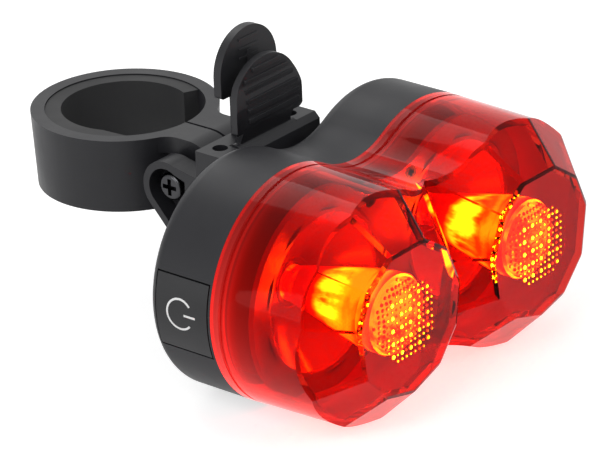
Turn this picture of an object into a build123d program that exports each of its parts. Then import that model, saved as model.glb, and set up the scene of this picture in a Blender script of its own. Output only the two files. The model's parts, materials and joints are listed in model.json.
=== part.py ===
"""Twin bike rear light on a seat-post bracket, in millimetres.

+Z is the seat post's axis, the light shines along -Y and its two lobes lie along X.
The origin is the centre of the seat-post clamp.
"""
import os
from math import cos, radians, sin, sqrt

from build123d import *

# Fits and wall clearances
running_gap = 0.05
seat_gap = 0.1
loose_gap = 0.3
overrun = 2.0
edge_round = 0.4

# Clamp band and shim
band_bore = 31.8
band_wall = 2.8
band_height = 15.2
band_draft = 0.7
split_gap = 0.6
ear_width = 7.1
ear_fillet = 1.2
ear_web_radius = 4.0
ear_web_gap = 0.3
shim_bore = 25.4
shim_drop = 0.5
shim_end_angle = 65.0
shim_taper_start_angle = 69.0
shim_taper_end_angle = 36.0

# Clamp screw, washer and nut
screw_diameter = 3.0
screw_head_diameter = 5.6
screw_head_height = 2.4
cross_width = 0.9
cross_length = 3.4
cross_depth = 1.2
washer_diameter = 7.0
washer_thickness = 0.5
nut_flats = 5.5
nut_height = 2.4
thread_overhang = 0.6

# Cradle
pivot_y = -22.3
lug_round = 5.7
lug_thickness = 7.0
lug_wall = 1.5
lug_step = 1.8
lug_step_thickness = 2.2
recess_depth = 4.0
recess_reach = 4.9
nut_seat_depth = 1.0
cradle_gap = 0.4
cradle_depth = 7.6
cradle_top = 10.0
cradle_bottom = -20.0
cradle_chamfer = 1.2
core_hole_diameter = 3.0
core_hole_depth = 8.0
core_hole_x = 10.4
core_hole_share = 0.4
lug_foot_z = -17.2
lug_shoulder_z = 4.2

# Slide-on rail between cradle and light
rail_neck_width = 10.0
rail_neck_depth = 1.1
rail_flange_width = 17.0
rail_flange_depth = 1.3
rail_top = 4.0
rail_bottom = -18.0
clip_wall = 1.8
clip_stop = 1.8
clip_screw_diameter = 2.0
clip_screw_head = 3.6
clip_screw_head_height = 0.9
clip_screw_pitch = 15.0

# Thumb rest and release lever
rest_width = 16.8
rest_thickness = 1.8
rest_stem_width = 8.0
rest_shoulder_z = 18.8
rest_top = 31.4
lever_width = 19.6
lever_thickness = 1.5
lever_barrel = 1.5
lever_barrel_z = 9.0
lever_barrel_y = -35.4
lever_barrel_length = 17.0
lever_stem_width = 15.0
lever_bend_z = 14.6
lever_upper_z = 20.0
lever_setback = 0.8
lever_front_y = -37.4
lever_top = 26.4
rib_pitch = 1.9
rib_height = 0.9
rib_proud = 0.45
rib_length = 14.8
rib_offset = 0.95
rib_count = 6
rib_start_z = 15.1
rest_rib_length = 5.6
rest_rib_count = 3
rest_spine_top = 26.7
rest_spine_bottom = 23.9

# Housing
lobe_half = 20.3
lobe_radius = 23.15
waist_wall = 2.1
waist_web = 2.4
light_z = -7.8
back_y = -42.2
seam_y = -57.6
housing_wall = 2.0
back_round = 3.0
button_width = 12.8
button_height = 15.2
button_front_land = 0.5
mouth_step = 0.8

# Lens
lens_wall = 2.0
lens_draft = 0.75
front_y = -86.4
shoulder_share = 0.7083
facet_radius = 15.0
rim_width = 2.0
rim_groove = 0.4
groove_width = 0.6
spigot_wall = 1.2
spigot_depth = 1.2
facet_angle_shares = (0.03, 0.11, 0.2, 0.3, 0.385, 0.48, 0.57, 0.655, 0.745, 0.83, 0.92)

# Seal
gasket_size = 0.6
gasket_thickness = 0.8

# Reflector and light pipes
reflector_inset = 3.0
reflector_front_share = 0.2917
reflector_wall = 1.2
bowl_margin = 3.65
bowl_throat = 3.7
bowl_back_y = -58.6
bowl_lip = 0.8
post_radius = 2.1
post_x = 6.4
post_margin = 0.2
post_clearance = 0.85
pipe_base_radius = 3.5
pipe_front_radius = 7.8
pipe_collar_length = 2.5
pipe_dome_height = 2.0

# Boards and switch
board_thickness = 1.6
board_inset = 2.6
package_side = 3.6
package_height = 0.8
dome_radius = 1.4
board_screw_diameter = 1.8
board_screw_head = 3.2
board_screw_head_height = 1.2
board_screw_length = 14.0
switch_board_thickness = 1.2
switch_board_reach = 4.5
switch_board_height = 14.0
switch_side = 6.0
switch_height = 3.0
plunger_radius = 1.6
plunger_length = 1.4
plunger_travel = 0.3
pad_wall = 0.9
pad_step = 1.6
pad_post_radius = 2.0
wire_diameter = 0.8
wire_pitch = 3.0

# Cells
cell_diameter = 10.5
cell_length = 44.5
cell_pip_diameter = 3.8
cell_pip_length = 0.8
cell_pitch = 11.1
tray_wall = 1.4
tray_floor = 0.8
tray_margin = 0.5
spring_length = 3.6
spring_radius = 2.8
spring_wire = 0.6
contact_thickness = 0.4
contact_width = 8.6

# Derived places
half_height = band_height / 2
bore_radius = band_bore / 2
band_radius = bore_radius + band_wall
lug_inner = ear_width + seat_gap
lug_outer = lug_inner + lug_thickness
ear_round = half_height
cradle_back = pivot_y - ear_round - cradle_gap
cradle_front = cradle_back - cradle_depth
lens_depth = seam_y - front_y
shoulder_y = seam_y - lens_depth * shoulder_share
reflector_front_y = seam_y - lens_depth * reflector_front_share
post_z = (cell_pitch + cell_diameter) / 2 + tray_margin + post_radius + post_margin
crossing_height = sqrt(max(lobe_radius ** 2 - lobe_half ** 2, 0))
waist_half_height = max(post_z + post_radius + waist_wall, crossing_height + waist_web)
waist_excess = lobe_half ** 2 + waist_half_height ** 2 - lobe_radius ** 2
waist_radius = waist_excess / (2 * (lobe_radius - waist_half_height))
waist_rise = waist_half_height + waist_radius
post_reach = sqrt((lobe_half - post_x) ** 2 + post_z ** 2)
bowl_beside_posts = post_reach - post_radius - post_clearance
bowl_radius = min(lobe_radius - reflector_inset - bowl_margin, bowl_beside_posts)
neck_y = cradle_front - rail_neck_depth
flange_y = neck_y - rail_flange_depth
recess_floor = lug_outer - recess_depth
clip_head_y = flange_y - 2 * seat_gap
clip_shank = clip_head_y - clip_screw_head_height - back_y + housing_wall
board_front = seam_y + seat_gap
board_back = board_front + board_thickness
package_front = board_front - package_height
mouth_floor = seam_y + spigot_depth + gasket_thickness
lens_inner_front = front_y + lens_wall
outer_x = -(lobe_half + lobe_radius)
cell_y = back_y - housing_wall - tray_floor - seat_gap - cell_diameter / 2
tray_half = cell_length / 2 + spring_length / 2 + contact_thickness + cell_pip_length / 2
button_back = seam_y + button_front_land + button_width
button_mid_y = seam_y + button_front_land + button_width / 2
pad_inner_x = outer_x + pad_wall
plunger_x = pad_inner_x + pad_step
switch_face_x = plunger_x + plunger_length
switch_back_x = switch_face_x + switch_height


def block(x0, x1, y0, y1, z0, z1):
    """A box between two corners."""
    size = Box(abs(x1 - x0), abs(y1 - y0), abs(z1 - z0))
    return Pos((x0 + x1) / 2, (y0 + y1) / 2, (z0 + z1) / 2) * size


def rod_x(radius, x0, x1, y, z):
    """A round bar along X."""
    return Pos((x0 + x1) / 2, y, z) * Rot(0, 90, 0) * Cylinder(radius, abs(x1 - x0))


def rod_y(radius, y0, y1, x, z):
    """A round bar along Y."""
    return Pos(x, (y0 + y1) / 2, z) * Rot(90, 0, 0) * Cylinder(radius, abs(y1 - y0))


def rod_z(radius, z0, z1, x, y):
    """A round bar along Z."""
    return Pos(x, y, (z0 + z1) / 2) * Cylinder(radius, abs(z1 - z0))


def hex_x(flats, x0, x1, y, z):
    """A hexagonal bar along X."""
    outline = Plane.YZ * RegularPolygon(flats / 2, 6, major_radius=False)
    return Pos(x0, y, z) * extrude(outline, amount=x1 - x0)


def round_y(profile, x):
    """A turned part about a line along Y through a lobe's centre, from (radius, y) points."""
    outline = make_face(Polyline(*[(r, y, 0) for r, y in profile], close=True))
    return Pos(x, 0, light_z) * revolve(outline, Axis.Y)


def lobes(inset):
    """The outline of two lobes and their waist, drawn in by an inset."""
    waist = Polygon((-lobe_half, 0), (0, -waist_rise), (lobe_half, 0), (0, waist_rise), align=None)
    for side in (-1, 1):
        waist -= Pos(0, side * waist_rise) * Circle(waist_radius + inset)
    for side in (-1, 1):
        waist += Pos(side * lobe_half, 0) * Circle(lobe_radius - inset)
    return waist


def lobe_slab(y_from, y_to, inset):
    """The two-lobe outline carried along -Y."""
    outline = Pos(0, y_from, light_z) * (Plane.XZ * lobes(inset))
    return extrude(outline, amount=y_from - y_to, dir=(0, -1, 0))


def screw_y(x, z, y_head, head_diameter, head_height, diameter, length, points):
    """A cross-head screw along Y whose head's top is at y_head; points is the shank's direction."""
    head = rod_y(head_diameter / 2, y_head, y_head + points * head_height, x, z)
    shank_from = y_head + points * head_height
    shank = rod_y(diameter / 2, shank_from, shank_from + points * length, x, z)
    slot_depth = y_head + points * head_height / 2
    half_slot = head_diameter / 3
    half_width = cross_width / 2
    across = block(x - half_slot, x + half_slot, y_head, slot_depth, z - half_width, z + half_width)
    upright = block(x - half_width, x + half_width, y_head, slot_depth, z - half_slot, z + half_slot)
    return head + shank - across - upright


def clamp_band():
    """One C-shaped band with two ears, split along the plane x = 0."""
    ring = Cone(band_radius - band_draft, band_radius, band_height)
    ears = block(-ear_width, ear_width, 0, pivot_y, -half_height, half_height)
    ears += rod_x(ear_round, -ear_width, ear_width, pivot_y, 0)
    body = ring + ears
    roots = [e for e in body.edges() if is_ear_root(e)]
    body = fillet(roots, ear_fillet)
    body += ear_web(-1) + ear_web(1)
    body -= rod_z(bore_radius, -half_height - overrun, half_height + overrun, 0, 0)
    half_split = split_gap / 2
    body -= block(-half_split, half_split, 0, pivot_y - ear_round - overrun, -band_height, band_height)
    hole = screw_diameter / 2 + running_gap
    return body - rod_x(hole, -ear_width - overrun, ear_width + overrun, pivot_y, 0)


def ear_web(side):
    """The curved web above a lug, from the band's wall to an ear."""
    centre_x = ear_width + ear_web_radius
    reach = band_radius + ear_web_radius
    centre_y = -sqrt(reach ** 2 - centre_x ** 2)
    touch_share = band_radius / reach
    root_x = ear_width - edge_round
    corners = Polygon((side * root_x, -bore_radius), (side * root_x, centre_y), (side * centre_x, centre_y),
                      (side * centre_x * touch_share, centre_y * touch_share), align=None)
    outline = corners - Pos(side * centre_x, centre_y) * Circle(ear_web_radius)
    start = lug_round - lug_step + ear_web_gap
    return Pos(0, 0, start) * extrude(outline, amount=half_height - start, dir=(0, 0, 1))


def is_ear_root(edge):
    """True for the upright edges where an ear meets the band."""
    middle = edge.center()
    box = edge.bounding_box()
    upright = box.size.Z > half_height
    beside = abs(abs(middle.X) - ear_width) < seat_gap
    return upright and beside and -band_radius - seat_gap < middle.Y < -bore_radius / 2


def rubber_shim():
    """A C-shaped strip that lines the band, open at the ears."""
    outer = bore_radius - running_gap
    inner = shim_bore / 2
    height = band_height - shim_drop
    ring = Cylinder(outer, height) - Cylinder(inner, height + overrun)
    end = radians(shim_end_angle)
    taper_start = radians(shim_taper_start_angle)
    taper_end = radians(shim_taper_end_angle)
    reach = band_radius
    gap = Polygon((0, 0), (-inner * sin(taper_start), -inner * cos(taper_start)),
                  (-reach * sin(taper_end), -reach * cos(taper_end)), (0, -2 * reach),
                  (2 * reach * sin(end), -2 * reach * cos(end)), align=None)
    return ring - Pos(0, 0, -height) * extrude(gap, amount=band_height + height)


def clamp_screw():
    """The cross-head screw that pinches the ears and carries the cradle's tilt."""
    seat = -(recess_floor + washer_thickness)
    tip = recess_floor - nut_seat_depth + nut_height + thread_overhang
    screw = rod_x(screw_diameter / 2, seat, tip, pivot_y, 0)
    top = seat - screw_head_height
    head = rod_x(screw_head_diameter / 2, top, seat, pivot_y, 0)
    rims = head.edges().filter_by(GeomType.CIRCLE).group_by(Axis.X)[0]
    head = fillet(rims, screw_head_height / 3)
    half_slot = cross_length / 2
    half_width = cross_width / 2
    bottom = top + cross_depth
    head -= block(top, bottom, pivot_y - half_slot, pivot_y + half_slot, -half_width, half_width)
    head -= block(top, bottom, pivot_y - half_width, pivot_y + half_width, -half_slot, half_slot)
    return screw + head


def clamp_washer():
    """The flat washer under the screw's head."""
    outer = -(recess_floor + washer_thickness)
    disc = rod_x(washer_diameter / 2, outer, -recess_floor, pivot_y, 0)
    bore = screw_diameter / 2 + running_gap
    return disc - rod_x(bore, outer - overrun, -recess_floor + overrun, pivot_y, 0)


def clamp_nut():
    """The hexagonal nut, sunk in the far lug."""
    start = recess_floor - nut_seat_depth
    nut = hex_x(nut_flats, start, start + nut_height, pivot_y, 0)
    bore = screw_diameter / 2 + running_gap
    return nut - rod_x(bore, start - overrun, start + nut_height + overrun, pivot_y, 0)


def lug_outline(inset, foot_y):
    """The side view of a lug, in (y, z) from the pivot: a round end that widens to its foot."""
    radius = lug_round - inset
    dy = cradle_back - pivot_y
    dz = lug_foot_z
    reach = sqrt(dy * dy + dz * dz)
    tilt = lug_round / reach
    flat = sqrt(1 - tilt * tilt)
    out_y = tilt * dy / reach - flat * dz / reach
    out_z = tilt * dz / reach + flat * dy / reach
    touch_y = radius * out_y
    touch_z = radius * out_z
    fall = (foot_y - touch_y) / (dy - lug_round * out_y)
    foot_z = touch_z + fall * (dz - lug_round * out_z)
    side = Polygon((0, radius), (touch_y, touch_z), (foot_y, foot_z), (foot_y, lug_shoulder_z - inset),
                   align=None)
    return side + Circle(radius)


def side_plate(outline, x_start, thickness):
    """A flat (y, z) outline about the pivot, made into a plate that starts at x_start."""
    face = Pos(x_start, pivot_y, 0) * (Plane.YZ * outline)
    return extrude(face, amount=thickness, dir=(1, 0, 0))


def finger(width, y_front, y_back, z_shoulder, z_top):
    """An upright finger pad: round lower corners and a round top, carried along Y."""
    half = width / 2
    corner = edge_round * 2
    middle = z_top - half
    outline = Pos(0, middle) * (Circle(half) & Pos(0, half / 2) * Rectangle(width, half))
    height = middle - z_shoulder
    outline += Pos(0, middle - (height - corner) / 2) * Rectangle(width, height - corner)
    outline += Pos(0, middle - height / 2) * Rectangle(width - 2 * corner, height)
    for side in (-1, 1):
        outline += Pos(side * (half - corner), z_shoulder + corner) * Circle(corner)
    return extrude(Pos(0, y_back, 0) * (Plane.XZ * outline), amount=y_back - y_front, dir=(0, -1, 0))


def cradle():
    """The bracket's block with two lugs, the thumb rest and the rail for the light."""
    body = block(-lug_outer, lug_outer, cradle_back, cradle_front, cradle_bottom, cradle_top)
    front_edges = body.edges().filter_by(Axis.X).group_by(Axis.Y)[0]
    body = chamfer(front_edges, cradle_chamfer)
    foot = cradle_back - seat_gap - pivot_y
    outer_thickness = lug_thickness - lug_step_thickness
    for side in (-1, 1):
        step = lug_inner if side > 0 else -lug_inner - lug_step_thickness
        body += side_plate(lug_outline(lug_step, foot), step, lug_step_thickness)
        start = lug_inner + lug_step_thickness if side > 0 else -lug_outer
        body += side_plate(lug_outline(0, foot), start, outer_thickness)
        floor = recess_floor if side > 0 else -lug_outer - overrun
        pocket = lug_outline(lug_wall, -recess_reach)
        body -= side_plate(pocket, floor, recess_depth + overrun)
        hole_y = cradle_back - cradle_depth * core_hole_share
        body -= rod_z(core_hole_diameter / 2, cradle_top - core_hole_depth, cradle_top + overrun,
                      side * core_hole_x, hole_y)
    nut_floor = recess_floor - nut_seat_depth
    body -= hex_x(nut_flats + 2 * running_gap, nut_floor, recess_floor + overrun, pivot_y, 0)
    hole = screw_diameter / 2 + running_gap
    body -= rod_x(hole, -lug_outer, lug_outer, pivot_y, 0)
    neck_half = rail_neck_width / 2
    flange_half = rail_flange_width / 2
    body += block(-neck_half, neck_half, cradle_front + edge_round, neck_y, rail_bottom, rail_top)
    body += block(-flange_half, flange_half, neck_y, flange_y, rail_bottom, rail_top)
    groove = lever_barrel + seat_gap
    groove_end = lever_barrel_length / 2 + seat_gap
    body -= rod_x(groove, -groove_end, groove_end, lever_barrel_y, lever_barrel_z)
    mouth = lever_thickness / 2 + loose_gap * 2
    body -= block(-groove_end, groove_end, lever_barrel_y - mouth, lever_barrel_y + mouth,
                  lever_barrel_z, cradle_top + overrun)
    rest_back = cradle_back - edge_round
    rest_front = rest_back - rest_thickness
    stem_half = rest_stem_width / 2
    body += block(-stem_half, stem_half, rest_back, rest_front, cradle_top - edge_round,
                  rest_shoulder_z + edge_round)
    body += finger(rest_width, rest_front, rest_back, rest_shoulder_z, rest_top)
    rib_half = rest_rib_length / 2
    for index in range(rest_rib_count):
        z = rest_top - rib_pitch * (index + 1)
        body += block(-rib_half, rib_half, rest_front + rib_proud, rest_front - rib_proud / 2,
                      z - rib_height / 2, z)
    body += block(-rib_height / 2, rib_height / 2, rest_front + rib_proud, rest_front - rib_proud / 2,
                  rest_spine_bottom, rest_spine_top)
    return body


def lever_path(y_shift):
    """The lever's side view along its middle, from the barrel up to the top of the pad."""
    front = lever_front_y + lever_thickness / 2 + y_shift
    upper = front + lever_setback
    return [(lever_barrel_y + y_shift, lever_barrel_z),
            (lever_barrel_y + y_shift, cradle_top + rib_height),
            (front, lever_bend_z - rib_pitch / 2),
            (front, lever_upper_z - rib_pitch),
            (upper, lever_upper_z + rib_pitch),
            (upper, lever_top + overrun)]


def release_lever():
    """The springing finger: a barrel in the cradle's groove, a stem and a ribbed pad."""
    half = lever_thickness / 2
    fronts = lever_path(-half)
    backs = lever_path(half)
    side = make_face(Polyline(*fronts, *reversed(backs), close=True))
    strip = extrude(Plane.YZ * side, amount=lever_width / 2, both=True)
    reach = lever_thickness * 2 + lever_setback
    pad_bottom = lever_bend_z - rib_pitch
    pad = finger(lever_width, lever_front_y - reach, lever_barrel_y + reach, pad_bottom, lever_top)
    stem_half = lever_stem_width / 2
    pad += block(-stem_half, stem_half, lever_front_y - reach, lever_barrel_y + reach,
                 lever_barrel_z - half, lever_bend_z)
    body = strip & pad
    barrel_half = lever_barrel_length / 2
    body += rod_x(lever_barrel, -barrel_half, barrel_half, lever_barrel_y, lever_barrel_z)
    for index in range(rib_count):
        z = rib_start_z + index * rib_pitch
        half_width = lever_width / 2
        above = max(0, z + rib_height / 2 - (lever_top - half_width))
        limit = sqrt(half_width ** 2 - above ** 2) - rib_height
        rib_left = max(rib_offset - rib_length / 2, -limit)
        rib_right = min(rib_offset + rib_length / 2, limit)
        front = lever_front_y
        if z > lever_upper_z:
            front += lever_setback
        elif z > lever_upper_z - rib_pitch:
            front += lever_setback * (z - lever_upper_z + rib_pitch) / (2 * rib_pitch)
        body += block(rib_left, rib_right, front + half, front - rib_proud, z - rib_height / 2,
                      z + rib_height / 2)
    return body


def button_zone(gap):
    """The space of the power button's panel in the housing's side, widened all round by a gap."""
    half = button_height / 2 + gap
    return block(outer_x - overrun, outer_x + lobe_radius / 2, button_back + gap,
                 seam_y + button_front_land - gap, light_z - half, light_z + half)


def housing():
    """The rear shell, open to the lens, with bosses for the clip and the boards."""
    shell = lobe_slab(back_y, seam_y, 0)
    rim = [e for e in shell.edges() if abs(e.center().Y - back_y) < seat_gap]
    shell = fillet(rim, back_round)
    shell -= lobe_slab(back_y - housing_wall, seam_y - overrun, housing_wall)
    shell -= lobe_slab(mouth_floor, seam_y - overrun, housing_wall - mouth_step)
    shell -= button_zone(0)
    for side in (-1, 1):
        z = light_z + side * clip_screw_pitch / 2
        shell -= rod_y(clip_screw_diameter / 2 - running_gap, back_y + overrun,
                       back_y - housing_wall - overrun, 0, z)
    for x, z in post_places():
        shell += rod_y(post_radius, back_y - housing_wall / 2, board_back, x, z)
    for x, z in post_places():
        bore = board_screw_diameter / 2 + running_gap
        shell -= rod_y(bore, back_y - housing_wall, board_back - overrun, x, z)
    return shell


def post_places():
    """The four posts of the reflector and board, as (x, z), where the waist meets the lobes."""
    return [(side * post_x, light_z + level * post_z) for side in (-1, 1) for level in (-1, 1)]


def power_button():
    """The soft side panel with a post that reaches the switch."""
    panel = rod_y(lobe_radius, button_back, seam_y + button_front_land, -lobe_half, light_z)
    panel -= rod_y(lobe_radius - pad_wall, button_back + overrun, seam_y, -lobe_half, light_z)
    panel = panel & button_zone(-loose_gap)
    post = rod_x(pad_post_radius, pad_inner_x - pad_wall / 2, plunger_x, button_mid_y, light_z)
    return panel + post


def switch_plunger():
    """The small round plunger of the push switch."""
    end = switch_face_x + plunger_length
    return rod_x(plunger_radius, plunger_x + running_gap, end, button_mid_y, light_z)


def switch_body():
    """The push switch, open to its plunger."""
    half = switch_side / 2
    box = block(switch_face_x, switch_back_x, button_mid_y - half, button_mid_y + half,
                light_z - half, light_z + half)
    well = switch_face_x + plunger_length + plunger_travel + seat_gap
    return box - rod_x(plunger_radius + seat_gap, switch_face_x - overrun, well, button_mid_y, light_z)


def switch_board():
    """The small upright board that carries the switch and stands on the main board."""
    half = switch_board_height / 2
    return block(switch_back_x, switch_back_x + switch_board_thickness,
                 button_mid_y + switch_board_reach, board_back, light_z - half, light_z + half)


def lead_wires():
    """Two short leads from the switch board to the main board."""
    start_x = switch_back_x + switch_board_thickness
    wires = None
    for side in (-1, 1):
        z = light_z + side * wire_pitch / 2
        turn_x = start_x + wire_pitch
        points = [(start_x, button_mid_y, z), (turn_x, button_mid_y, z), (turn_x, board_back, z)]
        route = FilletPolyline(*points, radius=wire_diameter * 2)
        wire = sweep(Plane(route @ 0, z_dir=route % 0) * Circle(wire_diameter / 2), path=route)
        wires = wire if wires is None else wires + wire
    return wires


def lens_form(inset, y_start):
    """The lens's solid form drawn in by an inset: tapered skirt, then facets round each lobe."""
    depth = y_start - shoulder_y
    skirt_rim = Pos(0, y_start, light_z) * (Plane.XZ * lobes(inset))
    skirt_top = Pos(0, front_y + inset, light_z) * (Plane.XZ * lobes(inset + lens_draft))
    skirt = loft([skirt_rim.face(), skirt_top.face()])
    slope = (lobe_radius - facet_radius) / (shoulder_y - front_y)
    gems = None
    for side in (-1, 1):
        near = facet_radius - inset / 2
        far = near + slope * (depth + shoulder_y - front_y - inset)
        front = Pos(side * lobe_half, front_y + inset, light_z) * (Plane.XZ * facet_polygon(near, side))
        back = Pos(side * lobe_half, y_start, light_z) * (Plane.XZ * facet_polygon(far, side))
        gem = loft([back.face(), front.face()])
        gems = gem if gems is None else gems + gem
    return skirt & gems


def facet_polygon(radius, side):
    """An uneven many-sided outline, mirrored on the second lobe."""
    points = []
    for share in facet_angle_shares:
        angle = radians(360 * share)
        points.append((side * radius * cos(angle), radius * sin(angle)))
    return Polygon(*points, align=None)


def lens():
    """The clear cover: a rim band, a groove, the skirt and the faceted fronts, hollow inside."""
    body = lens_form(0, seam_y)
    groove_from = seam_y - rim_width
    ring = lobe_slab(groove_from, groove_from - groove_width, -overrun)
    ring -= lobe_slab(groove_from + overrun, groove_from - groove_width - overrun, rim_groove)
    body -= ring
    body -= lens_form(lens_wall, seam_y + overrun)
    spigot = lobe_slab(seam_y + spigot_depth, seam_y - lens_wall, housing_wall - mouth_step + seat_gap)
    inner = housing_wall - mouth_step + seat_gap + spigot_wall
    spigot -= lobe_slab(seam_y + spigot_depth + overrun, seam_y - lens_wall - overrun, inner)
    return body + spigot


def lens_gasket():
    """The soft ring between the mouth's floor and the lens's spigot."""
    outer = housing_wall - mouth_step + running_gap
    ring = lobe_slab(mouth_floor, seam_y + spigot_depth + running_gap, outer)
    return ring - lobe_slab(mouth_floor + overrun, seam_y - overrun, outer + gasket_size)


def reflector():
    """One bright moulding: a plate with two bowls and two posts to the board."""
    back = reflector_front_y + reflector_wall
    plate = lobe_slab(back, reflector_front_y, reflector_inset)
    for side in (-1, 1):
        x = side * lobe_half
        plate -= rod_y(bowl_radius - reflector_wall, back + overrun, reflector_front_y - overrun, x, light_z)
    for side in (-1, 1):
        plate += round_y(bowl_profile(), side * lobe_half)
    for x, z in post_places():
        plate += rod_y(post_radius, reflector_front_y + reflector_wall / 2, board_front, x, z)
    sink_floor = reflector_front_y + board_screw_head_height
    for x, z in post_places():
        bore = board_screw_diameter / 2 + running_gap
        plate -= rod_y(bore, board_front + overrun, reflector_front_y - overrun, x, z)
        sink = board_screw_head / 2 + seat_gap
        plate -= rod_y(sink, sink_floor, reflector_front_y - overrun, x, z)
    return plate


def bowl_profile():
    """Half section of a bowl: a dish wall from its throat to its lip."""
    steps = 6
    inner = []
    outer = []
    for index in range(steps + 1):
        share = index / steps
        radius = bowl_throat + (bowl_radius - bowl_throat) * share
        y = bowl_back_y + (reflector_front_y - bowl_back_y) * share ** 2
        inner.append((radius, y))
        outer.append((radius, min(y + reflector_wall, bowl_back_y + bowl_lip)))
    return inner + outer[::-1]


def light_pipe(side):
    """A clear cone from an LED to a stippled dome close behind the lens's front."""
    base_y = package_front - running_gap
    cone_y = bowl_back_y - bowl_lip
    dome_y = lens_inner_front + loose_gap * 2
    collar_front = dome_y + pipe_dome_height
    collar_back = collar_front + pipe_collar_length
    pocket = dome_radius + seat_gap
    pocket_y = base_y - dome_radius - loose_gap
    steps = 5
    dome = []
    for index in range(steps):
        angle = radians(90 * index / steps)
        dome.append((pipe_front_radius * cos(angle), collar_front - pipe_dome_height * sin(angle)))
    profile = [(pocket, base_y), (pipe_base_radius, base_y), (pipe_base_radius, cone_y),
               (pipe_front_radius, collar_back), *dome, (0, dome_y), (0, pocket_y), (pocket, pocket_y)]
    return round_y(profile, side * lobe_half)


def main_board():
    """The circuit board across the housing's mouth."""
    inset = housing_wall + board_inset
    board = lobe_slab(board_back, board_front, inset)
    for x, z in post_places():
        bore = board_screw_diameter / 2 + running_gap
        board -= rod_y(bore, board_back + overrun, board_front - overrun, x, z)
    return board


def led_package(side):
    """The square white body of an LED with its clear dome."""
    half = package_side / 2
    x = side * lobe_half
    base = block(x - half, x + half, board_front, package_front, light_z - half, light_z + half)
    ball = Pos(x, package_front, light_z) * Sphere(dome_radius)
    return base + (ball & block(x - half, x + half, package_front, package_front - half,
                                light_z - half, light_z + half))


def board_screws():
    """Four cross-head screws through the reflector's posts and the board."""
    group = []
    for x, z in post_places():
        group.append(screw_y(x, z, reflector_front_y, board_screw_head, board_screw_head_height,
                             board_screw_diameter, board_screw_length, 1))
    return Compound(children=group)


def cell(side):
    """A small round cell with its pip."""
    z = light_z + side * cell_pitch / 2
    middle = side * (spring_length / 2 - cell_pip_length / 2)
    half = cell_length / 2
    can = rod_x(cell_diameter / 2, middle - half, middle + half, cell_y, z)
    pip_from = middle + side * half
    return can + rod_x(cell_pip_diameter / 2, pip_from, pip_from + side * cell_pip_length, cell_y, z)


def battery_tray():
    """The open tray for two cells, with end walls."""
    half_z = cell_pitch / 2 + cell_diameter / 2 + tray_margin
    floor_y = back_y - housing_wall
    tray = block(-tray_half - tray_wall, tray_half + tray_wall, floor_y, cell_y,
                 light_z - half_z, light_z + half_z)
    bore = cell_diameter / 2 + seat_gap
    for side in (-1, 1):
        z = light_z + side * cell_pitch / 2
        tray -= rod_x(bore, -tray_half, tray_half, cell_y, z)
    return tray


def contact_plates():
    """Four sprung-end and flat contact plates at the tray's end walls."""
    group = []
    half = contact_width / 2
    for side in (-1, 1):
        for end in (-1, 1):
            z = light_z + side * cell_pitch / 2
            outer = end * tray_half
            inner = end * (tray_half - contact_thickness)
            group.append(block(outer, inner, cell_y - half, cell_y, z - half, z + half))
    return Compound(children=group)


def battery_springs():
    """Two spring sleeves between the contact plates and the cells' flat ends."""
    group = []
    for side in (-1, 1):
        z = light_z + side * cell_pitch / 2
        plate = -side * (tray_half - contact_thickness)
        flat = side * (spring_length / 2 - cell_pip_length / 2 - cell_length / 2)
        sleeve = rod_x(spring_radius, plate, flat, cell_y, z)
        bore = spring_radius - spring_wire
        group.append(sleeve - rod_x(bore, plate - side * overrun, flat + side * overrun, cell_y, z))
    return Compound(children=group)


def rear_clip():
    """The channel on the light's back that slides down over the cradle's rail."""
    slide = seat_gap
    inner = rail_flange_width / 2 + slide
    outer = inner + clip_wall
    lip_back = cradle_front - slide
    top = rail_top + slide + clip_stop
    body = block(-outer, outer, lip_back, back_y, rail_bottom, top)
    body -= block(-inner, inner, neck_y + slide, flange_y - slide, rail_bottom - overrun, rail_top + slide)
    neck = rail_neck_width / 2 + slide
    body -= block(-neck, neck, lip_back + overrun, neck_y - slide, rail_bottom - overrun, rail_top + slide)
    for side in (-1, 1):
        z = light_z + side * clip_screw_pitch / 2
        body -= rod_y(clip_screw_diameter / 2 + seat_gap, lip_back + overrun, back_y - overrun, 0, z)
        sink = clip_screw_head / 2 + seat_gap
        body -= rod_y(sink, lip_back + overrun, clip_head_y - clip_screw_head_height, 0, z)
    return body


def clip_screws():
    """Two small cross-head screws that hold the clip on the housing."""
    group = []
    for side in (-1, 1):
        z = light_z + side * clip_screw_pitch / 2
        group.append(screw_y(0, z, clip_head_y, clip_screw_head, clip_screw_head_height,
                             clip_screw_diameter - 2 * seat_gap, clip_shank, -1))
    return Compound(children=group)


def parts():
    """Every piece of the light by name."""
    return {
        "clamp_band": clamp_band(),
        "rubber_shim": rubber_shim(),
        "clamp_screw": clamp_screw(),
        "clamp_washer": clamp_washer(),
        "clamp_nut": clamp_nut(),
        "cradle": cradle(),
        "release_lever": release_lever(),
        "housing": housing(),
        "power_button": power_button(),
        "switch_plunger": switch_plunger(),
        "switch_body": switch_body(),
        "switch_board": switch_board(),
        "lead_wires": lead_wires(),
        "lens": lens(),
        "lens_gasket": lens_gasket(),
        "reflector": reflector(),
        "light_pipe_near": light_pipe(-1),
        "light_pipe_far": light_pipe(1),
        "main_board": main_board(),
        "led_near": led_package(-1),
        "led_far": led_package(1),
        "board_screws": board_screws(),
        "battery_lower": cell(-1),
        "battery_upper": cell(1),
        "battery_tray": battery_tray(),
        "contact_plates": contact_plates(),
        "battery_springs": battery_springs(),
        "rear_clip": rear_clip(),
        "clip_screws": clip_screws(),
    }


os.makedirs("parts", exist_ok=True)
for name, shape in parts().items():
    export_step(shape, f"parts/{name}.step")
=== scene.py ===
"""Looks of a twin bike rear light on a seat-post bracket: finishes, fine pieces, stage and camera."""
import json

import bmesh
import bpy
import numpy as np
from mathutils import Matrix, Vector


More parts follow.
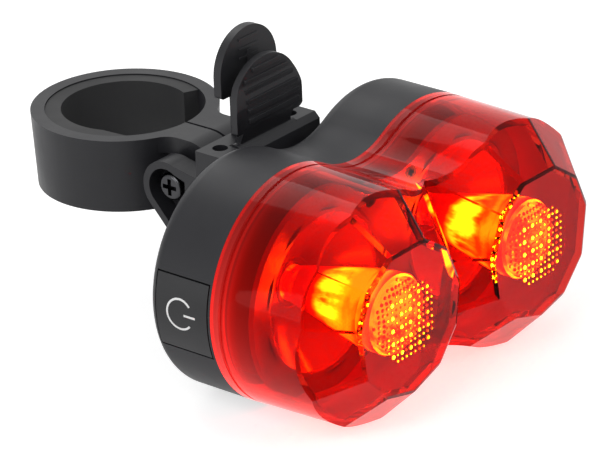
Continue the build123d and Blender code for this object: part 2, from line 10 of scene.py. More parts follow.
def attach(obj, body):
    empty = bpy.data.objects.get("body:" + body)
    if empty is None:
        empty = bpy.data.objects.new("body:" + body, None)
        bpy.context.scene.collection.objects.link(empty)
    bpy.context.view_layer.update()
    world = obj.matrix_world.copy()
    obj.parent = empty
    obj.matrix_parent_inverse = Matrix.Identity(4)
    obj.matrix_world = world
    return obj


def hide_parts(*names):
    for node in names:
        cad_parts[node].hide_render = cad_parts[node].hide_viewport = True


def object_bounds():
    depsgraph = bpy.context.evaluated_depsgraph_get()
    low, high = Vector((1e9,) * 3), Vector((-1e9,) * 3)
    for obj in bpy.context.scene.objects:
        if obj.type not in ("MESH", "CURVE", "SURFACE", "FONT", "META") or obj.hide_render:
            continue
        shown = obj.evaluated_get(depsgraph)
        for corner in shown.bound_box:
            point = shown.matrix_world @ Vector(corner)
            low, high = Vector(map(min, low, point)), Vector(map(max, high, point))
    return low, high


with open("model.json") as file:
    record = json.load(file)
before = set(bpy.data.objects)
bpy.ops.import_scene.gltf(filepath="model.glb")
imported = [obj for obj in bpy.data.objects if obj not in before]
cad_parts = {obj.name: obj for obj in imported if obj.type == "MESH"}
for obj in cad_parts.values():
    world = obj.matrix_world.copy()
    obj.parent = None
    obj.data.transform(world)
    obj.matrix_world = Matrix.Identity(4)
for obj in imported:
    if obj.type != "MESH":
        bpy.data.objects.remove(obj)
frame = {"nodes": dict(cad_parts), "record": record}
CAD_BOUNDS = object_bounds()

bl_info = {
    "name": "Twin rear light looks",
    "version": (1, 0, 0),
    "blender": (4, 5, 0),
    "location": "3D View > Sidebar > Rear Light",
    "description": "Finishes and fine pieces of a twin bike rear light",
    "category": "Object",
}

MM = 0.001
LOBE_CENTRES = {"near": -20.3, "far": 20.3}
LIGHT_Z = -7.8
SEAM_Y = -57.6
FRONT_BUMP_Y = -85.7
# Where along y the painted glow of the light pipes is strongest.
PIPE_GLOW_Y = -71.5
# How far along y the painted glow of the lens rim reaches.
RIM_GLOW_REACH = 12.0
SEAM_CLEARANCE = 0.03
# Width of the chamfers between the lens's facets, which carry painted shade.
CORNER_BAND = 0.7

# Each lamp's name, place and side in metres, and power in watts.
LAMPS = (("key", (-0.62, -0.15, 0.5), 0.45, 2.5), ("front", (0.1, -0.75, 0.55), 0.5, 1.7),
         ("back", (0.25, 0.55, 0.6), 0.5, 1.6), ("side", (-0.7, 0.2, 0.1), 0.3, 0.8))
LAMP_TARGET = (0, -0.03, 0)

# The fitted camera: its place in millimetres, its right, up and back axes, and its lens.
CAMERA_PLACE = (-557.05, -509.29, 319.84)
CAMERA_AXES = ((0.62772, -0.77768, -0.03440), (0.34131, 0.23523, 0.91004), (-0.69963, -0.58299, 0.41309))
CAMERA_LENS = 243.53

# Finishes of one colour each: name, colour, worn colour, grain scale, least and most roughness, bump
# depth in millimetres, metallic, sheen.
FINISHES = (
    ("shim_rubber", (0.013, 0.013, 0.014), (0.03, 0.03, 0.031), 3000.0, (0.55, 0.7), 0.03, 0.0, 0.3),
    ("button_rubber", (0.01, 0.01, 0.011), (0.018, 0.018, 0.02), 3600.0, (0.3, 0.42), 0.02, 0.0, 0.28),
    ("gasket_rubber", (0.01, 0.01, 0.01), (0.02, 0.02, 0.02), 3000.0, (0.6, 0.7), 0.02, 0.0, 0.5),
    ("plated_steel", (0.035, 0.035, 0.038), (0.07, 0.07, 0.073), 2600.0, (0.16, 0.28), 0.01, 1.0, 0.5),
    ("switch_plastic", (0.05, 0.05, 0.05), (0.09, 0.09, 0.09), 3000.0, (0.4, 0.5), 0.02, 0.0, 0.5),
    ("board_laminate", (0.02, 0.08, 0.035), (0.035, 0.12, 0.05), 1800.0, (0.35, 0.5), 0.01, 0.0, 0.5),
    ("wire_sleeve", (0.45, 0.03, 0.03), (0.6, 0.06, 0.05), 2000.0, (0.4, 0.5), 0.01, 0.0, 0.5),
    # The reflector's dark red is painted: it stands in for the red light and dimness inside the cover, and
    # the dish itself is bright.
    ("bright_reflector", (0.34, 0.025, 0.02), (0.4, 0.035, 0.028), 900.0, (0.12, 0.25), 0.12, 0.25, 0.5),
    ("cell_sleeve", (0.05, 0.06, 0.08), (0.09, 0.1, 0.12), 1500.0, (0.25, 0.35), 0.01, 0.0, 0.5),
    ("tray_plastic", (0.03, 0.03, 0.03), (0.06, 0.06, 0.06), 3000.0, (0.45, 0.55), 0.02, 0.0, 0.5),
    ("spring_metal", (0.6, 0.58, 0.52), (0.7, 0.68, 0.62), 1800.0, (0.2, 0.3), 0.01, 1.0, 0.5),
)


class RearLightSizes(bpy.types.PropertyGroup):
    """Sizes of the fine pieces."""
    edge_round: bpy.props.FloatProperty(
        name="Edge round", description="Rounding of the moulded edges", default=0.00025, unit="LENGTH")
    bump_pitch: bpy.props.FloatProperty(
        name="Bump pitch", description="Distance between the bumps of a stippled dome",
        default=0.0013, unit="LENGTH")
    bump_radius: bpy.props.FloatProperty(
        name="Bump radius", description="Radius of the largest bump of a stippled dome",
        default=0.0005, unit="LENGTH")
    symbol_radius: bpy.props.FloatProperty(
        name="Symbol radius", description="Radius of the power symbol's ring", default=0.003, unit="LENGTH")
    symbol_stroke: bpy.props.FloatProperty(
        name="Symbol stroke", description="Width of the power symbol's line", default=0.00042, unit="LENGTH")


class RearLightColours(bpy.types.PropertyGroup):
    """Colours of the main finishes."""
    plastic: bpy.props.FloatVectorProperty(
        name="Plastic", description="Colour of the black mouldings", subtype="COLOR",
        default=(0.009, 0.009, 0.0105))
    lens: bpy.props.FloatVectorProperty(
        name="Lens", description="Tint of what passes through the lens", subtype="COLOR",
        default=(0.56, 0.011, 0.0045))
    glow: bpy.props.FloatVectorProperty(
        name="Glow", description="Colour of the lit diodes", subtype="COLOR", default=(1.0, 0.03, 0.01))
    # The core paints the hot centre of the pipes' and bumps' glow; its strong green lets it show yellow
    # behind the red tints.
    core: bpy.props.FloatVectorProperty(
        name="Core", description="Colour of the brightest part of the light", subtype="COLOR",
        default=(0.42, 1.0, 0.02))
    symbol: bpy.props.FloatVectorProperty(
        name="Symbol", description="Colour of the printed power symbol", subtype="COLOR",
        default=(0.7, 0.7, 0.7))


def sizes():
    return bpy.context.scene.rear_light_sizes


def colours():
    return bpy.context.scene.rear_light_colours


def new_material(name):
    """An empty node material with its Principled shader and its Object coordinates."""
    material = bpy.data.materials.new(name + "_finish")
    material.use_nodes = True
    tree = material.node_tree
    shader = tree.nodes["Principled BSDF"]
    place = tree.nodes.new("ShaderNodeTexCoord")
    return material, tree, shader, place.outputs["Object"]


def group_node(tree, group, place, values):
    """One use of a shared node group, with its own values."""
    node = tree.nodes.new("ShaderNodeGroup")
    node.node_tree = group
    tree.links.new(place, node.inputs["Place"])
    for key, value in values.items():
        node.inputs[key].default_value = value
    return node


def new_group(name, inputs, outputs):
    """A shader node group with a Place input, number or colour inputs, and named outputs."""
    group = bpy.data.node_groups.new(name, "ShaderNodeTree")
    group.interface.new_socket("Place", in_out="INPUT", socket_type="NodeSocketVector")
    for key, kind in inputs.items():
        group.interface.new_socket(key, in_out="INPUT", socket_type=kind)
    for key, kind in outputs.items():
        group.interface.new_socket(key, in_out="OUTPUT", socket_type=kind)
    return group, group.nodes.new("NodeGroupInput"), group.nodes.new("NodeGroupOutput")


def mould_grain_group():
    """Fine spark-eroded grain: two noises of different scale give colour, roughness and height."""
    number, colour = "NodeSocketFloat", "NodeSocketColor"
    group, source, result = new_group(
        "mould_grain", {"Colour": colour, "Worn colour": colour, "Scale": number, "Low rough": number,
                        "High rough": number},
        {"Colour": colour, "Roughness": number, "Height": number})
    link = group.links.new
    fine = group.nodes.new("ShaderNodeTexNoise")
    fine.inputs["Detail"].default_value = 3.0
    link(source.outputs["Place"], fine.inputs["Vector"])
    link(source.outputs["Scale"], fine.inputs["Scale"])
    broad = group.nodes.new("ShaderNodeTexNoise")
    broad.inputs["Scale"].default_value = 90.0
    broad.inputs["Detail"].default_value = 4.0
    link(source.outputs["Place"], broad.inputs["Vector"])
    mix = group.nodes.new("ShaderNodeMix")
    mix.data_type = "RGBA"
    link(broad.outputs["Fac"], mix.inputs["Factor"])
    link(source.outputs["Colour"], mix.inputs["A"])
    link(source.outputs["Worn colour"], mix.inputs["B"])
    spread = group.nodes.new("ShaderNodeMapRange")
    spread.inputs["From Min"].default_value = 0.3
    spread.inputs["From Max"].default_value = 0.7
    link(broad.outputs["Fac"], spread.inputs["Value"])
    link(source.outputs["Low rough"], spread.inputs["To Min"])
    link(source.outputs["High rough"], spread.inputs["To Max"])
    link(mix.outputs["Result"], result.inputs["Colour"])
    link(spread.outputs["Result"], result.inputs["Roughness"])
    link(fine.outputs["Fac"], result.inputs["Height"])
    return group


def grained(group, name, colour, worn, scale, rough, depth, metallic, sheen):
    """A solid finish: mould grain drives its colour, roughness and bump."""
    material, tree, shader, place = new_material(name)
    node = group_node(tree, group, place, {
        "Colour": (*colour, 1.0), "Worn colour": (*worn, 1.0), "Scale": scale, "Low rough": rough[0],
        "High rough": rough[1]})
    bump = tree.nodes.new("ShaderNodeBump")
    bump.inputs["Strength"].default_value = 0.35
    bump.inputs["Distance"].default_value = depth * MM
    tree.links.new(node.outputs["Height"], bump.inputs["Height"])
    tree.links.new(node.outputs["Colour"], shader.inputs["Base Color"])
    tree.links.new(node.outputs["Roughness"], shader.inputs["Roughness"])
    tree.links.new(bump.outputs["Normal"], shader.inputs["Normal"])
    shader.inputs["Metallic"].default_value = metallic
    shader.inputs["Specular IOR Level"].default_value = sheen
    return material


def clear(name, tint, rough, bump_scale, bump_depth, index=1.49):
    """A clear tinted moulding. Lamps reach what is behind it through its tint."""
    material, tree, shader, place = new_material(name)
    noise = tree.nodes.new("ShaderNodeTexNoise")
    noise.inputs["Scale"].default_value = bump_scale
    tree.links.new(place, noise.inputs["Vector"])
    bump = tree.nodes.new("ShaderNodeBump")
    bump.inputs["Strength"].default_value = 0.3
    bump.inputs["Distance"].default_value = bump_depth * MM
    tree.links.new(noise.outputs["Fac"], bump.inputs["Height"])
    tree.links.new(bump.outputs["Normal"], shader.inputs["Normal"])
    shader.inputs["Base Color"].default_value = (*tint, 1.0)
    shader.inputs["Roughness"].default_value = rough
    shader.inputs["Transmission Weight"].default_value = 1.0
    shader.inputs["Specular Tint"].default_value = (1.0, 0.15, 0.12, 1.0)
    shader.inputs["IOR"].default_value = index
    passing = tree.nodes.new("ShaderNodeBsdfTransparent")
    passing.inputs["Color"].default_value = (*(0.8 * level for level in tint), 1.0)
    path = tree.nodes.new("ShaderNodeLightPath")
    mix = tree.nodes.new("ShaderNodeMixShader")
    tree.links.new(path.outputs["Is Shadow Ray"], mix.inputs["Fac"])
    tree.links.new(shader.outputs["BSDF"], mix.inputs[1])
    tree.links.new(passing.outputs["BSDF"], mix.inputs[2])
    tree.links.new(mix.outputs["Shader"], tree.nodes["Material Output"].inputs["Surface"])
    return material


def glowing(material, colour, strength):
    """Adds the diode's light to a material."""
    shader = material.node_tree.nodes["Principled BSDF"]
    shader.inputs["Emission Color"].default_value = (*colour, 1.0)
    shader.inputs["Emission Strength"].default_value = strength
    return material


def ramp(tree, source, stops):
    """A colour ramp through the given (place, colour) stops."""
    node = tree.nodes.new("ShaderNodeValToRGB")
    while len(node.color_ramp.elements) < len(stops):
        node.color_ramp.elements.new(0.5)
    for element, (place, colour) in zip(node.color_ramp.elements, stops):
        element.position = place
        element.color = (*colour, 1.0)
    tree.links.new(source, node.inputs["Fac"])
    return node.outputs["Color"]


def lit_pipe():
    """The light pipe, with painted glow. Its glow is strongest a little in front of the diode, along its
    length, and is broken into streaks by a noise drawn out along the light's axis."""
    material = clear("pipe_polycarbonate", (0.8, 0.12, 0.06), 0.06, 700.0, 0.05)
    tree = material.node_tree
    shader = tree.nodes["Principled BSDF"]
    place = tree.nodes["Texture Coordinate"].outputs["Object"]
    split = tree.nodes.new("ShaderNodeSeparateXYZ")
    tree.links.new(place, split.inputs["Vector"])
    offset = tree.nodes.new("ShaderNodeMath")
    offset.operation = "ADD"
    offset.inputs[1].default_value = -PIPE_GLOW_Y * MM
    tree.links.new(split.outputs["Y"], offset.inputs[0])
    away = tree.nodes.new("ShaderNodeMath")
    away.operation = "ABSOLUTE"
    tree.links.new(offset.outputs["Value"], away.inputs[0])
    nearness = tree.nodes.new("ShaderNodeMapRange")
    nearness.interpolation_type = "SMOOTHSTEP"
    for key, value in (("From Min", 1.0 * MM), ("From Max", 6.8 * MM), ("To Min", 1.1), ("To Max", 0.0)):
        nearness.inputs[key].default_value = value
    tree.links.new(away.outputs["Value"], nearness.inputs["Value"])
    stretch = tree.nodes.new("ShaderNodeMapping")
    stretch.inputs["Scale"].default_value = (420.0, 90.0, 420.0)
    tree.links.new(place, stretch.inputs["Vector"])
    streak = tree.nodes.new("ShaderNodeTexNoise")
    streak.inputs["Scale"].default_value = 1.0
    streak.inputs["Detail"].default_value = 4.0
    tree.links.new(stretch.outputs["Vector"], streak.inputs["Vector"])
    contrast = tree.nodes.new("ShaderNodeMapRange")
    for key, value in (("From Min", 0.36), ("From Max", 0.62), ("To Min", 0.28), ("To Max", 1.0)):
        contrast.inputs[key].default_value = value
    tree.links.new(streak.outputs["Fac"], contrast.inputs["Value"])
    level = tree.nodes.new("ShaderNodeMath")
    level.operation = "MULTIPLY"
    tree.links.new(nearness.outputs["Result"], level.inputs[0])
    tree.links.new(contrast.outputs["Result"], level.inputs[1])
    # The painted glow fades where the pipe is seen edge-on.
    edge = tree.nodes.new("ShaderNodeLayerWeight")
    soft = tree.nodes.new("ShaderNodeMapRange")
    for key, value in (("From Min", 0.3), ("From Max", 0.95), ("To Min", 1.0), ("To Max", 0.3)):
        soft.inputs[key].default_value = value
    tree.links.new(edge.outputs["Facing"], soft.inputs["Value"])
    shown = tree.nodes.new("ShaderNodeMath")
    shown.operation = "MULTIPLY"
    tree.links.new(level.outputs["Value"], shown.inputs[0])
    tree.links.new(soft.outputs["Result"], shown.inputs[1])
    core = tuple(colours().core)
    colour = ramp(tree, shown.outputs["Value"], (
        (0.0, (0.004, 0.0, 0.0)), (0.22, (0.02, 0.004, 0.0)), (0.42, (0.05, 0.2, 0.0)), (0.7, core)))
    tree.links.new(colour, shader.inputs["Emission Color"])
    shader.inputs["Emission Strength"].default_value = 92.0
    return material


def lit_stipple():
    """The stippled bumps, with painted glints: the pieces' own point attribute holds the brightness of each
    point, shown as emission.
    """
    material, tree, shader, _ = new_material("stipple_polycarbonate")
    painted_glint = tree.nodes.new("ShaderNodeAttribute")
    painted_glint.attribute_name = "painted_glint"
    core = tuple(colours().core)
    colour = ramp(tree, painted_glint.outputs["Fac"], (
        (0.0, (0.008, 0.0, 0.0)), (0.22, (0.02, 0.01, 0.0)), (0.5, (0.06, 0.35, 0.0)), (0.9, core)))
    tree.links.new(colour, shader.inputs["Emission Color"])
    shader.inputs["Emission Strength"].default_value = 122.0
    shader.inputs["Base Color"].default_value = (0.6, 0.05, 0.02, 1.0)
    shader.inputs["Roughness"].default_value = 0.15
    return material


def red_cover():
    """The red cover, with painted light. Along the light's axis a ramp paints a glow on its thick rim in
    place of the light led round in it, with one dark line and fainter towards the top, and the pieces' own
    attribute corner darkens the tint where facets meet as painted shade."""
    lens = tuple(colours().lens)
    material = clear("red_polycarbonate", lens, 0.01, 160.0, 0.03, 1.24)
    tree = material.node_tree
    shader = tree.nodes["Principled BSDF"]
    # Painted shade: the cover's tint turns near black on the chamfers marked by the attribute corner.
    corner = tree.nodes.new("ShaderNodeAttribute")
    corner.attribute_name = "corner"
    tint = ramp(tree, corner.outputs["Fac"], ((0.0, lens), (1.0, (0.012, 0.0, 0.0005))))
    tree.links.new(tint, shader.inputs["Base Color"])
    split = tree.nodes.new("ShaderNodeSeparateXYZ")
    tree.links.new(tree.nodes["Texture Coordinate"].outputs["Object"], split.inputs["Vector"])
    # Painted glow on the rim: emission set by a ramp along y, with one dark line in it.
    along = tree.nodes.new("ShaderNodeMapRange")
    along.inputs["From Min"].default_value = SEAM_Y * MM
    along.inputs["From Max"].default_value = (SEAM_Y - RIM_GLOW_REACH) * MM
    tree.links.new(split.outputs["Y"], along.inputs["Value"])
    rim = ramp(tree, along.outputs["Result"], (
        (0.0, (0.5, 0.03, 0.028)), (0.15, (0.6, 0.04, 0.035)), (0.185, (0.16, 0.002, 0.002)),
        (0.22, (0.16, 0.002, 0.002)), (0.25, (0.6, 0.02, 0.015)), (0.34, (0.45, 0.01, 0.008)),
        (0.42, (0.26, 0.003, 0.001)), (0.7, (0.2, 0.002, 0.001)), (1.0, (0.0, 0.0, 0.0))))
    # The painted rim glow is brighter low down and fainter towards the top.
    height = tree.nodes.new("ShaderNodeMapRange")
    for key, value in (("From Min", -20.0 * MM), ("From Max", 12.0 * MM), ("To Min", 1.0), ("To Max", 0.25)):
        height.inputs[key].default_value = value
    tree.links.new(split.outputs["Z"], height.inputs["Value"])
    fading = tree.nodes.new("ShaderNodeVectorMath")
    fading.operation = "SCALE"
    tree.links.new(rim, fading.inputs[0])
    tree.links.new(height.outputs["Result"], fading.inputs["Scale"])
    tree.links.new(fading.outputs["Vector"], shader.inputs["Emission Color"])
    shader.inputs["Emission Strength"].default_value = 1.0
    return material


def build_finishes():
    """Every finish of the light, by the record's slot."""
    group = mould_grain_group()
    black = tuple(colours().plastic)
    grey = tuple(2.2 * c for c in black)
    rows = (
        ("bracket_plastic", black, grey, 5200.0, (0.36, 0.5), 0.03, 0.0, 0.28),
        ("finger_plastic", black, grey, 5200.0, (0.34, 0.46), 0.03, 0.0, 0.28),
        ("housing_plastic", black, grey, 4200.0, (0.4, 0.52), 0.03, 0.0, 0.24),
        *FINISHES,
        ("led_resin", (0.9, 0.85, 0.7), (0.95, 0.9, 0.8), 2000.0, (0.2, 0.3), 0.01, 0.0, 0.5),
        ("symbol_ink", tuple(colours().symbol), (0.78, 0.78, 0.78), 4000.0, (0.45, 0.6), 0.01, 0.0, 0.5))
    finishes = {row[0]: grained(group, *row) for row in rows}
    glowing(finishes["led_resin"], tuple(colours().glow), 6.0)
    red_cover()
    lit_pipe()
    lit_stipple()


def dress(obj, finish):
    """Gives an object one finish."""
    obj.data.materials.clear()
    obj.data.materials.append(bpy.data.materials[finish + "_finish"])


def surface(name, points, faces, body, finish, smooth=True):
    """A mesh object from arrays of points in millimetres and of faces."""
    mesh = bpy.data.meshes.new(name)
    mesh.from_pydata((np.asarray(points) * MM).tolist(), [], [list(map(int, f)) for f in faces])
    mesh.update()
    mesh.polygons.foreach_set("use_smooth", np.full(len(mesh.polygons), smooth))
    obj = bpy.data.objects.new(name, mesh)
    bpy.context.scene.collection.objects.link(obj)
    dress(obj, finish)
    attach(obj, body)
    return obj


def band_corners(work):
    """Chamfers the corners between the lens's front facets on the side of each lobe that faces +X, and marks
    the chamfers with the attribute corner, which carries painted shade. The face at the seam is drawn a
    little off the housing."""
    for vert in work.verts:
        if abs(vert.co.y / MM - SEAM_Y) < 0.01:
            vert.co.y -= SEAM_CLEARANCE * MM
    painted_shade_mark = work.faces.layers.float.new("corner")
    work.normal_update()
    picked = []
    for edge in work.edges:
        middle = (edge.verts[0].co + edge.verts[1].co) / (2 * MM)
        side = min((middle.x - centre for centre in LOBE_CENTRES.values()), key=abs)
        front = len(edge.link_faces) == 2 and all(face.normal.y < -0.5 for face in edge.link_faces)
        if front and side > -4 and edge.calc_face_angle() > 0.2:
            picked.append(edge)
    made = bmesh.ops.bevel(work, geom=picked, offset=CORNER_BAND * MM, segments=1, affect="EDGES",
                           clamp_overlap=True)
    # Marks the chamfers for the cover's painted shade.
    for face in made["faces"]:
        face[painted_shade_mark] = 1.0


def rounded_copy(node, body, slot, sharp, width, corners=False):
    """A copy of a CAD node with its loose triangles merged and its sharp edges rounded."""
    source = frame["nodes"][node]
    work = bmesh.new()
    work.from_mesh(source.data)
    bmesh.ops.remove_doubles(work, verts=work.verts, dist=0.002 * MM)
    bmesh.ops.dissolve_limit(work, angle_limit=0.004, verts=work.verts, edges=work.edges)
    if corners:
        band_corners(work)
    mesh = bpy.data.meshes.new(node + "_moulded")
    work.to_mesh(mesh)
    work.free()
    mesh.polygons.foreach_set("use_smooth", np.full(len(mesh.polygons), True))
    obj = bpy.data.objects.new(node + "_moulded", mesh)
    bpy.context.scene.collection.objects.link(obj)
    bevel = obj.modifiers.new("edge_round", "BEVEL")
    bevel.width = width
    bevel.segments = 2
    bevel.limit_method = "ANGLE"
    bevel.angle_limit = sharp
    even = obj.modifiers.new("even_shading", "WEIGHTED_NORMAL")
    even.weight = 80
    dress(obj, slot)
    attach(obj, body)
    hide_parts(node)
    return obj


def ribbon(path, half_width, lift, skin):
    """A printed line on the button's panel. The path's (y, z) points are offset to both sides along the
    path's normal, and each offset point takes its x from the panel's cylinder, once lifted and once sunk."""
    step = np.gradient(path, axis=0)
    normal = np.stack([-step[:, 1], step[:, 0]], 1) / np.linalg.norm(step, axis=1, keepdims=True)
    rings = []
    for side, height in ((1, lift), (-1, lift), (-1, -skin), (1, -skin)):
        flat = path + side * half_width * normal
        radius = 23.15 + height
        x = LOBE_CENTRES["near"] - np.sqrt(radius ** 2 - (flat[:, 1] - LIGHT_Z) ** 2)
        rings.append(np.stack([x, flat[:, 0], flat[:, 1]], 1))
    points = np.stack(rings, 1).reshape(-1, 3)
    index = np.arange(len(path) * 4).reshape(-1, 4)
    turn = np.roll(index, -1, axis=1)
    faces = np.stack([index[:-1], index[1:], turn[1:], turn[:-1]], -1).reshape(-1, 4).tolist()
    faces += [index[0].tolist(), index[-1][::-1].tolist()]
    return points, faces


def square_places(radius, pitch):
    """The (x, z) places of a square pattern inside a circle, and whether each lies on every second row and
    column."""
    count = int(radius / pitch) + 2
    row, column = np.meshgrid(np.arange(-count, count + 1), np.arange(-count, count + 1))
    x, z = column * pitch, row * pitch
    inside = np.hypot(x, z) < radius
    second = (row % 2 == 0) & (column % 2 == 0)
    return np.stack([x[inside], z[inside]], 1), second[inside]


def bump_field(centres, radii, glint_levels):
    """Small half balls at the given centres: rings of points at falling height, closed by a base. Each point
    gets a
    painted glint brightness: its bump's level times a share that rises to the bump's tip."""
    sides = np.linspace(0, 2 * np.pi, 7)[:-1]
    rings = [(1.0, 0.25), (0.92, -0.35), (0.55, -0.82)]
    ball = [(r * np.cos(a), h, r * np.sin(a)) for r, h in rings for a in sides]
    ball = np.array(ball + [(0.0, -1.0, 0.0)])
    glint_shares = np.repeat((0.05, 0.25, 0.75, 1.1), (6, 6, 6, 1))
    step = np.arange(6)
    after = (step + 1) % 6
    quads = np.concatenate([np.stack([step, after, after + 6, step + 6], 1) + 6 * level for level in (0, 1)])
    caps = np.stack([12 + step, 12 + after, np.full(6, 18)], 1)
    points = (centres[:, None, :] + radii[:, None, None] * ball[None]).reshape(-1, 3)
    shift = np.arange(len(centres))[:, None, None] * len(ball)
    base = shift + step[::-1][None, None]
    faces = [*(shift + quads).reshape(-1, 4), *(shift + caps).reshape(-1, 3), *base.reshape(-1, 6)]
    return points, faces, (glint_levels[:, None] * glint_shares[None]).ravel()


def front_bumps(centre_x, pitch, radius):
    """The bumps behind the lens's flat front. Each second one is large with a bright painted glint, fading
    with x;
    the others are small and take a random dim painted glint."""
    places, second = square_places(8.2 - radius, pitch)
    radii = np.where(second, radius, 0.6 * radius)
    random_glint = np.random.default_rng(7).uniform(0.1, 0.65, len(places))
    glint_levels = np.where(second, 0.8 - 0.055 * places[:, 0], random_glint)
    centres = np.stack([centre_x + places[:, 0], np.full(len(places), FRONT_BUMP_Y),
                        LIGHT_Z - 0.5 + places[:, 1]], 1)
    return bump_field(centres, radii, glint_levels)


def pipe_bumps(centre_x, pitch, radius):
    """The bumps round the rim of a light pipe's dome. A place (x, z) takes y from the dome's ellipse."""
    places, _ = square_places(7.8 - radius, 0.8 * pitch)
    reach = np.hypot(places[:, 0], places[:, 1]) / 7.8
    outer = reach > 0.6
    places, reach = places[outer], reach[outer]
    y = -81.8 - 2.0 * np.sqrt(1 - reach ** 2)
    # Each bump takes a random painted glint brightness.
    random_glint = np.random.default_rng(8).uniform(0.1, 0.8, len(places))
    centres = np.stack([centre_x + places[:, 0], y, LIGHT_Z + places[:, 1]], 1)
    return bump_field(centres, np.full(len(places), 0.8 * radius), random_glint)


def fluted_bowl(centre_x):
    """The reflector's bright dish with flutes. On a grid of radius and angle, depth follows the dish's
    square law, and a cosine of the angle, growing with the radius, adds the flutes. A second grid just
    behind it closes the skin."""
    radius = np.linspace(4.6, 16.2, 22)
    angle = np.linspace(0, 2 * np.pi, 193)[:-1]
    share = (radius - 3.7) / (16.5 - 3.7)
    dish = -58.6 + (-66.0 + 58.6) * share ** 2
    flute = 0.32 * share[:, None] * (1 + np.cos(9 * angle)[None])
    front = dish[:, None] - 0.12 - flute
    back = np.repeat((dish - 0.02)[:, None], len(angle), 1)
    r = np.concatenate([radius, radius[::-1]])[:, None]
    y = np.concatenate([front, back[::-1]])
    points = np.stack([centre_x + r * np.cos(angle), y, LIGHT_Z + r * np.sin(angle)], -1).reshape(-1, 3)
    index = np.arange(len(points)).reshape(len(r), len(angle))
    down, across = np.roll(index, -1, 0), np.roll(index, -1, 1)
    faces = np.stack([index, across, np.roll(across, -1, 0), down], -1).reshape(-1, 4)
    return points, faces


class REARLIGHT_OT_flutes(bpy.types.Operator):
    """Sets the fluted bright dishes in the reflector"""
    bl_idname = "rearlight.flutes"
    bl_label = "Fluted dishes"

    def execute(self, context):
        for side, centre in LOBE_CENTRES.items():
            points, faces = fluted_bowl(centre)
            piece = surface("dish_" + side, points, faces, "light", "bright_reflector")
        return {"FINISHED"}


class REARLIGHT_OT_finishes(bpy.types.Operator):
    """Makes the finishes and gives each CAD piece its own"""
    bl_idname = "rearlight.finishes"
    bl_label = "Finishes"

    def execute(self, context):
        build_finishes()
        for part in frame["record"]["subparts"]:
            dress(frame["nodes"][part["node"]], part["material_slot"])
        return {"FINISHED"}


class REARLIGHT_OT_mouldings(bpy.types.Operator):
    """Rounds the edges of the black mouldings"""
    bl_idname = "rearlight.mouldings"
    bl_label = "Rounded mouldings"

    def execute(self, context):
        for node, body, slot in (("clamp_band", "clamp", "bracket_plastic"),
                                 ("cradle", "cradle", "bracket_plastic"),
                                 ("release_lever", "lever", "finger_plastic"),
                                 ("housing", "light", "housing_plastic"),
                                 ("rear_clip", "light", "bracket_plastic"),
                                 ("power_button", "button", "button_rubber")):
            rounded_copy(node, body, slot, 0.7, sizes().edge_round)
        rounded_copy("lens", "lens", "red_polycarbonate", 0.3, 0.4 * sizes().edge_round, corners=True)
        return {"FINISHED"}


class REARLIGHT_OT_symbol(bpy.types.Operator):
    """Prints the power symbol on the button"""
    bl_idname = "rearlight.symbol"
    bl_label = "Power symbol"

    def execute(self, context):
        radius = sizes().symbol_radius / MM
        half = sizes().symbol_stroke / MM / 2
        turn = np.linspace(np.radians(-140), np.radians(140), 61)
        ring = np.stack([-50.3 + radius * np.cos(turn), -7.5 + radius * np.sin(turn)], 1)
        bar = np.linspace((-51.3, -7.5), (-54.0, -7.5), 9)
        for name, path in (("symbol_ring", ring), ("symbol_bar", bar)):
            points, faces = ribbon(path, half, 0.03, 0.05)
            piece = surface(name, points, faces, "button", "symbol_ink", smooth=False)
        return {"FINISHED"}


class REARLIGHT_OT_stipple(bpy.types.Operator):
    """Sets the stippled bumps on both light pipes"""
    bl_idname = "rearlight.stipple"
    bl_label = "Stippled domes"

    def execute(self, context):
        for side, centre in LOBE_CENTRES.items():
            pitch, radius = sizes().bump_pitch / MM, sizes().bump_radius / MM
            for name, shape, body in (("front_stipple_", front_bumps, "lens"),
                                      ("pipe_stipple_", pipe_bumps, "light")):
                points, faces, glint_levels = shape(centre, pitch, radius)
                piece = surface(name + side, points, faces, body, "stipple_polycarbonate")
                # Each point's painted glint brightness, read by the bumps' glowing finish.
                painted_glint = piece.data.attributes.new("painted_glint", "FLOAT", "POINT")
                painted_glint.data.foreach_set("value", glint_levels.astype(np.float32))
        return {"FINISHED"}


def camera_ray_white(tree):
    """Adds plain white to what the camera, glossy and clear surfaces see of a backdrop."""
    nodes, link = tree.nodes, tree.links.new
    path = nodes.new("ShaderNodeLightPath")
    either = nodes.new("ShaderNodeMath")
    either.operation = "MAXIMUM"
    link(path.outputs["Is Camera Ray"], either.inputs[0])
    link(path.outputs["Is Glossy Ray"], either.inputs[1])
    any_of = nodes.new("ShaderNodeMath")
    any_of.operation = "MAXIMUM"
    link(either.outputs["Value"], any_of.inputs[0])
    link(path.outputs["Is Transmission Ray"], any_of.inputs[1])
    return any_of.outputs["Value"]


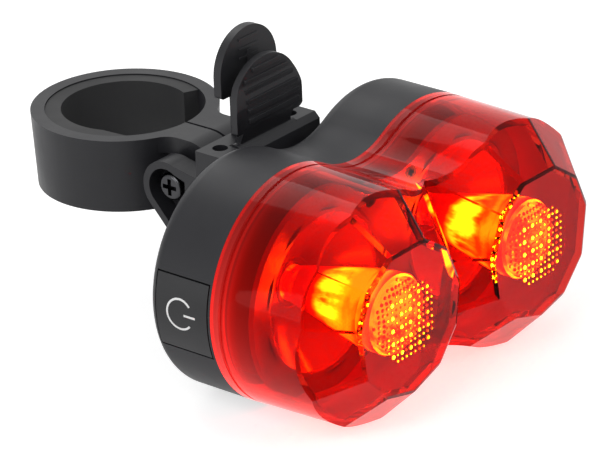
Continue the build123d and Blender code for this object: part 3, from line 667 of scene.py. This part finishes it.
class REARLIGHT_OT_stage(bpy.types.Operator):
    """Sets the floor, the lamps, the world and the camera"""
    bl_idname = "rearlight.stage"
    bl_label = "Stage"

    def execute(self, context):
        scene = context.scene
        scene.view_settings.view_transform = "Standard"
        low = CAD_BOUNDS[0][2]
        mesh = bpy.data.meshes.new("floor")
        reach = 4.0
        mesh.from_pydata([(-reach, -reach, low), (reach, -reach, low), (reach, reach, low),
                          (-reach, reach, low)], [], [(0, 1, 2, 3)])
        floor = bpy.data.objects.new("floor", mesh)
        scene.collection.objects.link(floor)
        material, tree, shader, _ = new_material("floor_white")
        shader.inputs["Base Color"].default_value = (0.72, 0.72, 0.72, 1.0)
        shader.inputs["Roughness"].default_value = 0.9
        white = camera_ray_white(tree)
        lift = tree.nodes.new("ShaderNodeMath")
        lift.operation = "MULTIPLY"
        lift.inputs[1].default_value = 0.6
        tree.links.new(white, lift.inputs[0])
        shader.inputs["Emission Color"].default_value = (1.0, 1.0, 1.0, 1.0)
        tree.links.new(lift.outputs["Value"], shader.inputs["Emission Strength"])
        floor.data.materials.append(material)

        world = bpy.data.worlds.new("studio")
        scene.world = world
        world.use_nodes = True
        tree = world.node_tree
        background = tree.nodes["Background"]
        background.inputs["Color"].default_value = (1.0, 1.0, 1.0, 1.0)
        white = camera_ray_white(tree)
        level = tree.nodes.new("ShaderNodeMapRange")
        level.inputs["To Min"].default_value = 0.4
        tree.links.new(white, level.inputs["Value"])
        tree.links.new(level.outputs["Result"], background.inputs["Strength"])

        for name, place, size, power in LAMPS:
            lamp = bpy.data.lights.new(name, "AREA")
            lamp.size = size
            lamp.energy = power
            holder = bpy.data.objects.new(name, lamp)
            holder.location = place
            aim = Vector(LAMP_TARGET) - Vector(place)
            holder.rotation_euler = aim.to_track_quat("-Z", "Y").to_euler()
            scene.collection.objects.link(holder)

        lens = bpy.data.cameras.new("camera")
        lens.sensor_fit = "HORIZONTAL"
        lens.sensor_width = 36.0
        lens.lens = CAMERA_LENS
        lens.clip_end = 20.0
        camera = bpy.data.objects.new("camera", lens)
        turn = Matrix(CAMERA_AXES).transposed().to_4x4()
        camera.matrix_world = Matrix.Translation(Vector(CAMERA_PLACE) * MM) @ turn
        scene.collection.objects.link(camera)
        scene.camera = camera
        return {"FINISHED"}


OPERATORS = (REARLIGHT_OT_finishes, REARLIGHT_OT_mouldings, REARLIGHT_OT_symbol, REARLIGHT_OT_stipple,
             REARLIGHT_OT_flutes, REARLIGHT_OT_stage)


class REARLIGHT_PT_panel(bpy.types.Panel):
    """Lists the steps that dress the rear light"""
    bl_label = "Rear Light"
    bl_idname = "REARLIGHT_PT_panel"
    bl_space_type = "VIEW_3D"
    bl_region_type = "UI"
    bl_category = "Rear Light"

    def draw(self, context):
        for group in (context.scene.rear_light_sizes, context.scene.rear_light_colours):
            for key in group.__annotations__:
                self.layout.prop(group, key)
        for operator in OPERATORS:
            self.layout.operator(operator.bl_idname)


CLASSES = (RearLightSizes, RearLightColours, *OPERATORS, REARLIGHT_PT_panel)


def register():
    for cls in CLASSES:
        bpy.utils.register_class(cls)
    bpy.types.Scene.rear_light_sizes = bpy.props.PointerProperty(type=RearLightSizes)
    bpy.types.Scene.rear_light_colours = bpy.props.PointerProperty(type=RearLightColours)


def unregister():
    del bpy.types.Scene.rear_light_colours
    del bpy.types.Scene.rear_light_sizes
    for cls in reversed(CLASSES):
        bpy.utils.unregister_class(cls)


def main():
    register()
    bpy.ops.rearlight.finishes()
    bpy.ops.rearlight.mouldings()
    bpy.ops.rearlight.symbol()
    bpy.ops.rearlight.stipple()
    bpy.ops.rearlight.flutes()
    bpy.ops.rearlight.stage()


if __name__ == "__main__":
    main()
